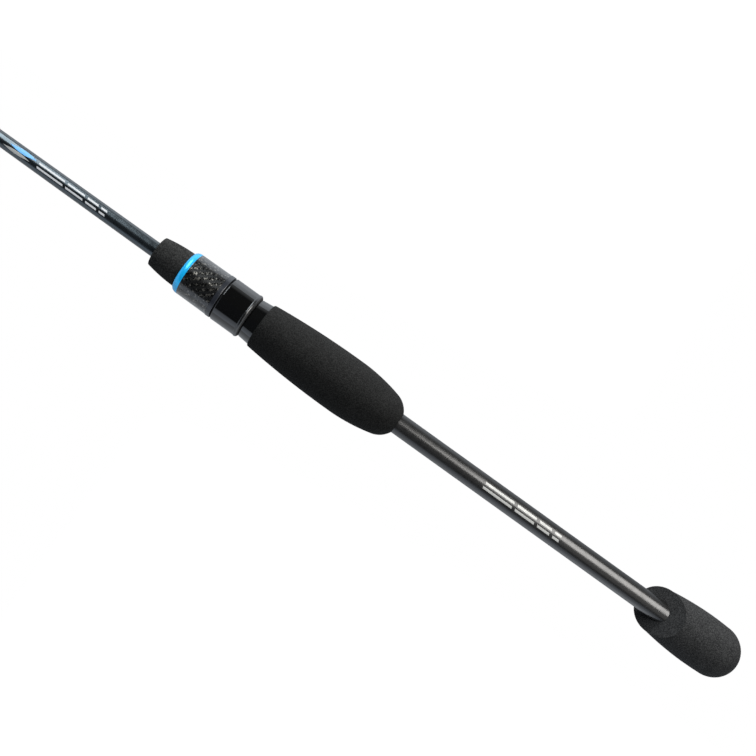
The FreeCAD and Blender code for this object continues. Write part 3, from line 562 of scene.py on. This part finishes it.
def make_butt_grip():
    """The butt knob: a round-ended foam grip whose front is cut off by one slanted plane."""
    start = extent("butt_grip")[0]
    widest = outer_radius("butt_grip")
    end_radius = widest - 0.3
    bore = outer_radius("handle_tube") + FIT
    tube_start = extent("handle_tube")[0]
    uncut_end = 58.0
    mesh = revolve(outline(
        (start, 0.0),
        (tube_start, 0.0),
        (tube_start, bore),
        (uncut_end, bore),
        (uncut_end, 11.2),
        Bulge(120.0),
        (47.0, 12.3),
        Bulge(170.0),
        (25.0, widest),
        Bulge(200.0),
        (end_radius, end_radius),
        Bulge(end_radius),
    ), sides=SHELL_SIDES)
    face_slope = 1.22  # how much the slanted face falls in each millimetre along the rod
    face_start = 36.8  # where it leaves the spine side
    normal = Vector((face_slope, 0.0, 1.0)).normalized()
    edges = cut_above(mesh, Vector((face_start, 0.0, widest)) * MM, normal)
    bmesh.ops.bridge_loops(mesh, edges=edges)
    bmesh.ops.recalc_face_normals(mesh, faces=mesh.faces)
    piece = shown("butt_grip_foam", mesh, BUTT_FOAM, "butt_section", "butt_grip", slot="foam")
    soften(piece, 0.45, segments=4, angle=math.radians(28.0))


def make_handle_tube():
    """The straight tube between the butt grip and the reel seat."""
    start, end = extent("handle_tube")
    radius = outer_radius("handle_tube")
    wall = 0.55
    mesh = revolve(outline(
        (start, radius - wall),
        (end, radius - wall),
        (end, radius, 0.1),
        (start, radius, 0.1),
    ))
    shown("handle_tube_satin", mesh, TUBE, "butt_section", "handle_tube", slot="handle_tube")


def make_rear_grip():
    """The foam grip behind the reel, which leaves the reel's landing bare underneath."""
    start, end = extent("rear_grip")
    tube_bore = outer_radius("handle_tube") + FIT
    seat_start = extent("reel_seat_body")[0]
    mesh = revolve(outline(
        (start, tube_bore),
        (seat_start, tube_bore),
        (seat_start, NUT_BORE),
        (end, NUT_BORE),
        (end, 12.5, 0.8),
        (end - 4.3, 12.95),
        Bulge(480.0, 24),
        (241.5, outer_radius("rear_grip")),
        Bulge(103.0, 24),
        (220.0, 12.1),
        Bulge(12.5, 24),
    ), sides=SHELL_SIDES)
    piece = shown("rear_grip_foam", mesh, FOAM, "butt_section", "rear_grip", slot="foam")
    roof, below = -7.5, -20.0  # heights of the opening that bares the reel's landing
    carve(piece, prism(((252.0, below), (end + 5.0, below), (end + 5.0, roof), (257.5, roof)), 30.0))
    carve(piece, revolve(cylinder(239.95, 258.5, 11.45), TOOL_SIDES, FOOT_DROP))
    soften(piece, 0.3, segments=3, angle=math.radians(40.0))


def half_round(x_range, radius, top):
    """A bmesh of a dropped cylinder with everything above a height cut off."""
    mesh = revolve(cylinder(*x_range, radius), TOOL_SIDES, FOOT_DROP)
    bmesh.ops.edgenet_fill(mesh, edges=cut_above(mesh, (0.0, 0.0, top * MM), (0.0, 0.0, 1.0)))
    bmesh.ops.recalc_face_normals(mesh, faces=mesh.faces)
    return mesh


def make_moving_hood():
    """The sliding hood: a gloss shell with a rolled rear bead, and room for a reel's foot underneath."""
    start, end = extent("moving_hood")
    front = end - 0.3
    radius = 12.25
    rim_radius = 9.4
    foot_shell = 11.7
    step = end - 1.0  # from here on, the hood is wide enough for the nut's rear end
    mesh = revolve(outline(
        (start, 0.0),
        (front, 0.0),
        (front, radius, 0.42),
        (start + 2.8, radius),
        (start + 2.5, radius),
        Bulge(1.25, 14),
        (start + 0.5, radius - 1.0),
        (start + 0.5, rim_radius),
        (start, rim_radius),
    ), sides=SHELL_SIDES)
    piece = shown("moving_hood_gloss", mesh, HOOD_GLOSS, "moving_hood", "moving_hood", slot="gloss_black")
    carve(piece, revolve(outline(
        (start + 0.55, 0.0),
        (front, 0.0),
        (front, foot_shell, 0.4),
        (start + 0.55, foot_shell, 0.6),
    ), TOOL_SIDES, FOOT_DROP), "UNION")
    barrel_bore, nut_bore, foot_bore, foot_top = 7.7, 11.65, 10.4, -5.0
    carve(piece, revolve(cylinder(start - 1.0, end + 1.0, barrel_bore), TOOL_SIDES))
    carve(piece, revolve(cylinder(step, end + 1.0, nut_bore), TOOL_SIDES))
    carve(piece, half_round((start - 1.0, extent("moving_hood_insert")[1] + 0.3), foot_bore, foot_top))
    key_width, key_heights = 2.6, (6.5, 8.3)
    carve(piece, block((start + 1.0, step - 1.0), key_width, key_heights), "UNION")
    smooth(piece)


def make_sleeve():
    """The carbon sleeve over the locking nut, with the lacquer rounded at both ends."""
    start, end = extent("carbon_sleeve")
    radius = outer_radius("carbon_sleeve")
    mesh = revolve(outline(
        (start, NUT_BORE),
        (end, NUT_BORE),
        (end, radius - 0.15, 0.15),
        (start, radius, 0.2),
    ), sides=SHELL_SIDES)
    shown("carbon_sleeve_twill", mesh, WEAVE, "locking_nut", "carbon_sleeve", slot="carbon_weave")


def make_trim_ring():
    """The blue anodised ring in front of the sleeve."""
    start, end = extent("trim_ring")
    radius = outer_radius("trim_ring")
    mesh = revolve(outline(
        (start, NUT_BORE),
        (end, NUT_BORE),
        (end, 10.65),
        Bulge(3.5, 14),
        (start + 0.5, radius),
        (start, radius, 0.12),
    ), sides=SHELL_SIDES)
    shown("trim_ring_blue", mesh, BLUE, "locking_nut", "trim_ring", slot="blue_anodised")


def make_fore_grip():
    """The short foam grip in front of the nut."""
    start, end = extent("fore_grip")
    nut_room, nut_end, blank_room = 8.65, 352.3, 4.5
    mesh = revolve(outline(
        (start, nut_room),
        (nut_end, nut_room),
        (nut_end, blank_room),
        (end, blank_room),
        (end, 8.25, 0.12),
        Bulge(85.0),
        (start, outer_radius("fore_grip"), 0.25),
    ), sides=SHELL_SIDES)
    # the fore grip gets the lighter foam copy, with its painted light
    piece = shown("fore_grip_foam", mesh, FORE_FOAM_PAINTED_LIGHT, "locking_nut", "fore_grip", slot="foam")


# ---------------------------------------------------------------- blanks


def blank_radius(x_pos):
    """The outer radius of the rod's blanks, tip section over butt section."""
    stations = BUTT_TAPER if x_pos < FERRULE_START else TIP_TAPER
    for (x_first, r_first), (x_last, r_last) in zip(stations, stations[1:]):
        if x_pos <= x_last:
            break
    share = (x_pos - x_first) / (x_last - x_first)
    return r_first + (r_last - r_first) * share


def make_blanks():
    """Both blanks, as long tapered tubes."""
    start, end = extent("butt_blank")
    (_, rear_radius), waist, (_, front_radius) = BUTT_TAPER
    wall = 1.0
    mesh = revolve(outline(
        (start, rear_radius - wall),
        (end, front_radius - wall),
        (end, front_radius, 0.15),
        waist,
        (start, rear_radius, 0.15),
    ), sides=TOOL_SIDES)
    shown("butt_blank_lacquered", mesh, BLANK, "butt_section", "butt_blank", slot="blank")
    start, end = extent("tip_blank")
    (_, rear_radius), (_, front_radius) = TIP_TAPER
    socket_end, bore_end = 1036.0, 1880.0
    mesh = revolve(outline(
        (start, 2.24),
        (socket_end, 2.05),
        (socket_end, 1.1),
        (bore_end, 0.35),
        (bore_end, 0.0),
        (end, 0.0),
        (end, front_radius),
        (start, rear_radius, 0.2),
    ), sides=TOOL_SIDES)
    shown("tip_blank_lacquered", mesh, BLANK, "tip_section", "tip_blank", slot="blank")


# ---------------------------------------------------------------- thread wraps


def stretches(node, gap=5.0):
    """The separate lengths of rod that a CAD node covers, in millimetres."""
    places = sorted(v.co.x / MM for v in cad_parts[node].data.vertices)
    parts = [[places[0], places[0]]]
    for x_pos in places:
        if x_pos - parts[-1][1] > gap:
            parts.append([x_pos, x_pos])
        parts[-1][1] = x_pos
    return parts


def hull_radius(turn, blank, foot, drop):
    """The distance from the rod's axis to a thread pulled tight round the blank and a foot under it."""
    turn = abs(turn)
    if drop + foot <= blank + 1e-4:
        return blank
    tangent = math.acos(min((blank - foot) / drop, 1.0))
    if turn >= tangent:
        return blank
    leaves = math.atan2(foot * math.sin(tangent), drop + foot * math.cos(tangent))
    if turn > leaves:
        return blank / math.cos(tangent - turn)
    return drop * math.cos(turn) + math.sqrt(max(foot ** 2 - (drop * math.sin(turn)) ** 2, 0.0))


def ease(share):
    """A smooth step from 0 to 1."""
    share = min(max(share, 0.0), 1.0)
    return share * share * (3.0 - 2.0 * share)


def foot_wrap(mesh, x_range, towards_tip):
    """Add one wrap: thread and epoxy over a foot, tapered off on the bare blank."""
    start, end = x_range
    rows, sides = 44, 64
    taper = 1.3  # length of bare thread at the open end, and of the taper at each end
    turns = [2.0 * math.pi * j / sides - math.pi for j in range(sides)]

    def ring(x_pos, radii):
        """One ring of points, each with its own radius."""
        return [mesh.verts.new((x_pos * MM, radius * MM * math.sin(turn), -radius * MM * math.cos(turn)))
                for radius, turn in zip(radii, turns)]

    rings = []
    for i in range(rows + 1):
        share = i / rows
        x_pos = start + (end - start) * share
        from_open = (end - x_pos) if towards_tip else (x_pos - start)
        edge = min(x_pos - start, end - x_pos)
        build = WRAP_SKIN + 0.34 * math.sqrt(ease(edge / taper))
        blank = blank_radius(x_pos)
        rise = ease((from_open - taper) / 2.6)
        foot = 1.0 + 0.42 * rise
        drop = (blank + build) - foot + (1.4 - build) * rise
        rings.append(ring(x_pos, [hull_radius(turn, blank + build, foot, drop) for turn in turns]))
    for x_pos in (end, start):
        rings.append(ring(x_pos, [blank_radius(x_pos) - WRAP_SINK] * sides))
    skin(mesh, rings, sides)


def make_wraps():
    """The wraps over every guide's feet, at the ferrule and behind the tip top."""
    for number in GUIDES:
        node = f"guide_{number}_wrap"
        mesh = bmesh.new()
        body = "butt_section" if number == 1 else "tip_section"
        for i, x_range in enumerate(stretches(node)):
            foot_wrap(mesh, x_range, towards_tip=i == 1)
        bmesh.ops.recalc_face_normals(mesh, faces=mesh.faces)
        shown(f"guide_{number}_thread", mesh, THREAD, body, node, slot="thread")
    for node, build in (("ferrule_wrap", 0.38), ("tip_top_wrap", 0.28)):
        start, end = extent(node)
        steps = 24
        points = [(x_pos, blank_radius(x_pos) - WRAP_SINK) for x_pos in (end, start)]
        for i in range(steps + 1):
            x_pos = start + (end - start) * i / steps
            edge = min(x_pos - start, end - x_pos)
            points.append((x_pos, blank_radius(x_pos) + WRAP_SKIN + build * math.sqrt(ease(edge / 1.5))))
        shown(f"{node}_thread", revolve(points, sides=TOOL_SIDES), THREAD, "tip_section", node, slot="thread")


# ---------------------------------------------------------------- printed marks


def make_patch(name, material, body, radius_at, x_range, turn_range, slant=0.0, ends=0.0):
    """A thin plate of print wrapped round the rod. Its ends may be slanted, and pinched to points."""
    steps_along, steps_round = 12, 10
    mesh = bmesh.new()
    layers = []
    for lift in (-PRINT_SINK, PRINT_LIFT):
        grid = []
        for i in range(steps_along + 1):
            share = i / steps_along
            row = []
            for j in range(steps_round + 1):
                side = j / steps_round
                x_pos = x_range[0] + (x_range[1] - x_range[0]) * share + slant * (side - 0.5)
                pinch = 1.0 - ends * (2.0 * share - 1.0) ** 2
                middle = (turn_range[0] + turn_range[1]) / 2.0
                turn = math.radians(middle + (turn_range[1] - turn_range[0]) * (side - 0.5) * pinch)
                radius = (radius_at(x_pos) + lift) * MM
                row.append(mesh.verts.new((x_pos * MM, radius * math.sin(turn), radius * math.cos(turn))))
            grid.append(row)
        layers.append(grid)
    for grid in layers:
        for i in range(steps_along):
            for j in range(steps_round):
                mesh.faces.new((grid[i][j], grid[i + 1][j], grid[i + 1][j + 1], grid[i][j + 1]))
    under, over = layers
    for i in range(steps_along):
        for j in (0, steps_round):
            mesh.faces.new((under[i][j], under[i + 1][j], over[i + 1][j], over[i][j]))
    for j in range(steps_round):
        for i in (0, steps_along):
            mesh.faces.new((under[i][j], under[i][j + 1], over[i][j + 1], over[i][j]))
    bmesh.ops.recalc_face_normals(mesh, faces=mesh.faces)
    shown(name, mesh, material, body)


def make_marks():
    """Plain print where the rod has its marks: twin broken stripes, and a pair of lozenges."""
    dashes = ((0.0, 0.36), (0.40, 0.64), (0.68, 0.83), (0.87, 0.95))
    rows = (("tube", SILVER_PRINT, lambda x: TUBE_RADIUS, (108.5, 158.0), ((-25.0, -12.0), (2.0, 15.0)), 0.6),
            ("blank", WHITE_PRINT, blank_radius, (391.5, 436.0), ((-26.0, -12.0), (8.0, 22.0)), 0.5))
    for name, material, radius_at, (first, last), bands, slant in rows:
        length = last - first
        for side, band in zip(("left", "right"), bands):
            for i, (dash_start, dash_end) in enumerate(dashes):
                make_patch(f"{name}_stripe_{side}_{i + 1}", material, "butt_section", radius_at,
                           (last - dash_end * length, last - dash_start * length), band, slant=-slant)
    for name, material, x_range, turn_range in (("blue", PALE_BLUE_PRINT, (438.5, 453.0), (-36.0, 0.0)),
                                                ("silver", SILVER_PRINT, (441.5, 456.0), (3.0, 31.0))):
        make_patch(f"blank_lozenge_{name}", material, "butt_section", blank_radius, x_range, turn_range,
                   slant=2.0, ends=0.92)


# ---------------------------------------------------------------- stage, lights and camera


def make_stage():
    """A white floor that glows evenly white to the camera. The glow the rod gets from it carries a painted
    shadow that fades close beside the rod, and painted light whose strength shifts from side to side along
    the rod.
    """
    low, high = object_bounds()
    mesh = bmesh.new()
    bmesh.ops.create_grid(mesh, x_segments=1, y_segments=1, size=12.0)
    floor = placed("floor", mesh)
    floor.location = ((low.x + high.x) / 2.0, 0.0, low.z - 0.002)
    middle = floor.location.x / MM
    finish = Finish("floor_paper", Roughness=0.9, Base_Color=(0.0, 0.0, 0.0), Specular_IOR_Level=0.0)
    beside = finish.math("ABSOLUTE", finish.across)
    # painted shadow: the floor's glow towards the rod is dimmed close beside the rod
    painted_shadow = finish.spread(beside, 0.0, SHADOW_REACH, 0.12, 1.0)
    # painted light: that glow grows stronger on one side of the rod or the other, depending on the place
    # along the rod
    left = finish.spread(finish.across, -SHADOW_REACH, SHADOW_REACH, -0.62, 0.45)
    ahead = finish.spread(finish.along, 50.0 - middle, 350.0 - middle, 1.0, -1.0)
    painted_glow = finish.math("MULTIPLY", painted_shadow, finish.math("MULTIPLY_ADD", left, ahead, 1.37))
    seen = finish.seen()
    finish.set("Emission Color", finish.mix(seen, (0.93, 0.99, 1.06), WHITE))
    finish.set("Emission Strength", finish.math("MAXIMUM", painted_glow, seen))
    finish.material.cycles.emission_sampling = "NONE"
    floor.data.materials.append(finish.material)


def make_world():
    """White to the camera. The rod sees a room that brightens towards the floor, more so on its left side."""
    world = bpy.data.worlds.new("studio")
    bpy.context.scene.world = world
    world.cycles.sampling_method = "NONE"
    graph = Graph(world)
    _, across, height = graph.parts(graph.place("Generated"))
    side_light = graph.math("MULTIPLY", graph.spread(height, *SIDE_LIGHT_EDGE, 1.0, 0.0),
                            graph.spread(height, *SIDE_LIGHT_FALL))
    left = graph.math("ADD", side_light, ROOM_LIGHT)
    right = graph.spread(height, RIM_HEIGHT - RIM_BLUR, RIM_HEIGHT + RIM_BLUR, RIM_LIGHT, ROOM_LIGHT)
    leftness = graph.spread(across, -0.1, 0.1)
    room = graph.math("ADD", right, graph.math("MULTIPLY", leftness, graph.math("SUBTRACT", left, right)))
    felt = graph.nodes.new("ShaderNodeBackground")
    white = graph.nodes.new("ShaderNodeBackground")
    chosen = graph.nodes.new("ShaderNodeMixShader")
    output = graph.nodes.new("ShaderNodeOutputWorld")
    for socket, value in (
        (felt.inputs["Strength"], room),
        (felt.inputs["Color"], graph.mix(leftness, (0.96, 1.0, 1.02), (0.90, 0.99, 1.12))),
        (white.inputs["Color"], WHITE),
        (chosen.inputs["Fac"], graph.seen()),
        (chosen.inputs[1], felt.outputs[0]),
        (chosen.inputs[2], white.outputs[0]),
        (output.inputs["Surface"], chosen.outputs[0]),
    ):
        graph.put(socket, value)


def make_light(name, place, target, size, watts, colour=WHITE, only=()):
    """A soft rectangular light aimed at a point, sizes in metres. It may be kept to some pieces only."""
    light = bpy.data.lights.new(name, "AREA")
    light.shape = "RECTANGLE"
    light.size, light.size_y = size
    light.energy = watts
    light.color = colour
    lamp = bpy.data.objects.new(name, light)
    lamp.location = place
    aim = Vector(target) - Vector(place)
    lamp.rotation_euler = aim.to_track_quat("-Z", "Y").to_euler()
    bpy.context.scene.collection.objects.link(lamp)
    if only:
        lit = bpy.data.collections.new(f"{name}_lit")
        for piece in only:
            lit.objects.link(bpy.data.objects[piece])
        lamp.light_linking.receiver_collection = lit


def make_lights():
    """Soft lights over the butt end, beyond the handle's front and behind, and one that grazes the foam."""
    warm, cool = (1.0, 0.98, 0.95), (0.88, 0.95, 1.0)
    make_light("over_butt", (-0.11, -0.40, 0.58), (0.03, 0.0, 0.0), (0.4, 0.60), 10.8, warm)
    make_light("beside_grip", (0.30, -0.90, 0.20), (0.25, 0.0, 0.0), (0.4, 0.3), 26.0,
               only=("butt_grip_foam", "rear_grip_foam", "fore_grip_foam"))
    make_light("beyond_front", (1.02, -0.68, 0.63), (1.02, 0.0, 0.0), (0.55, 1.0), 25.0, cool)
    make_light("behind_butt", (-0.45, 0.0, 0.75), (0.30, 0.0, 0.0), (1.4, 1.1), 4.6, warm)


def make_camera():
    """Straight down on the handle, with the rod running up to the left."""
    camera_data = bpy.data.cameras.new("camera")
    camera_data.lens = 54.25
    camera_data.sensor_width = 36.0
    camera = bpy.data.objects.new("camera", camera_data)
    right = Vector((-0.81237, -0.58314, 0.0)).normalized()
    back = Vector((0.0, 0.0, 1.0))
    up = back.cross(right)
    turn = Matrix((right, up, back)).transposed()
    camera.matrix_world = Matrix.Translation((0.2332, -0.0130, 0.581)) @ turn.to_4x4()
    bpy.context.scene.collection.objects.link(camera)
    bpy.context.scene.camera = camera


FINISHES = {
    "blank_shim_rear": SHIM,
    "blank_shim_front": SHIM,
    "reel_seat_body": GLOSS,
    "fixed_hood_insert": STEEL,
    "moving_hood_insert": STEEL,
    "hood_slip_ring": SLIP,
    "locking_nut": COLLAR,
    "tip_top_frame": GUIDE_METAL,
    "tip_top_ring": CERAMIC,
}
for number in GUIDES:
    FINISHES[f"guide_{number}_frame"] = GUIDE_METAL
    FINISHES[f"guide_{number}_ring"] = CERAMIC

make_butt_grip()
make_handle_tube()
make_rear_grip()
make_moving_hood()
make_sleeve()
make_trim_ring()
make_fore_grip()
make_blanks()
make_wraps()
make_marks()
for node, finish in FINISHES.items():
    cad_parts[node].material_slots[0].material = finish
make_stage()
make_world()
make_lights()
make_camera()
bpy.context.scene.view_settings.view_transform = "Standard"
